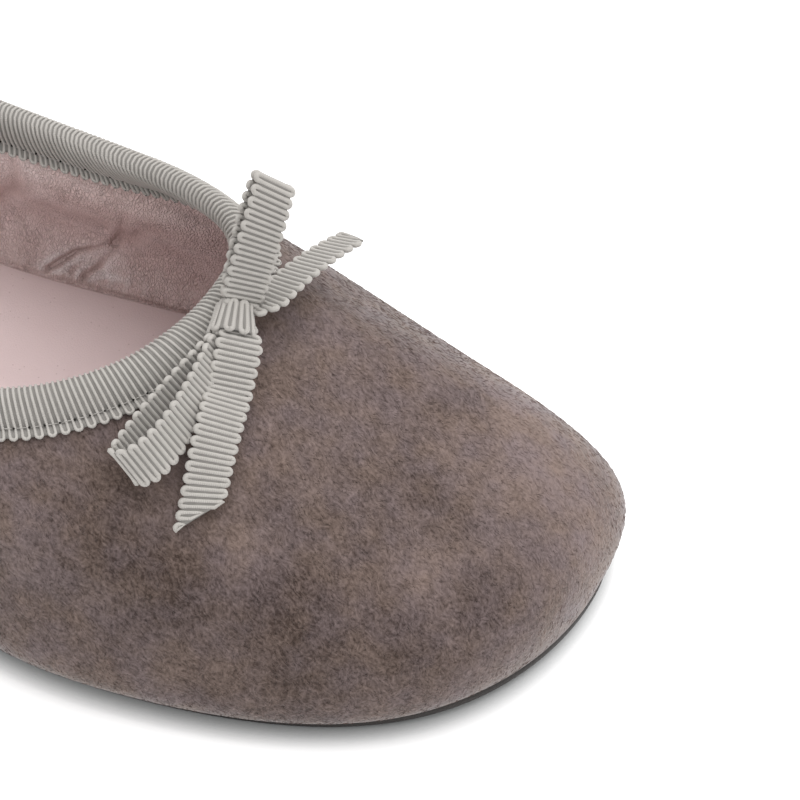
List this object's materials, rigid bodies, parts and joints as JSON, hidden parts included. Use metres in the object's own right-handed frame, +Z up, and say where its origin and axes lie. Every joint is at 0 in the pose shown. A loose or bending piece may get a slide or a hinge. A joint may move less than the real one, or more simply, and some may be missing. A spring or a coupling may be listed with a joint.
{
  "type": "ballerina slipper",
  "caption": "Low suede ballerina slipper for the right foot with a thin leather sole, pink sock, and a grosgrain ribbon edge tied in a small bow at the throat.",
  "frame": {"origin": "on the floor under the middle of the shoe's box", "axes": "+X to the toe, +Y to the inner side of the right foot, +Z up"},
  "size_m": [0.2436, 0.0832, 0.0688],
  "materials": {
    "suede": "napped suede, taupe",
    "grosgrain": "ribbed ribbon with picot edges, pale grey",
    "sock_leather": "soft fine-grained leather, dusty pink",
    "sole_leather": "matt dyed edge, near black"
  },
  "bodies": {
    "root": {"outsole": "sole_leather", "insole": "sock_leather", "upper": "suede", "topline_binding": "grosgrain", "bow_knot": "grosgrain", "bow_loop_medial": "grosgrain", "bow_loop_lateral": "grosgrain", "bow_tail_medial": "grosgrain", "bow_tail_lateral": "grosgrain"}
  },
  "joints": []
}
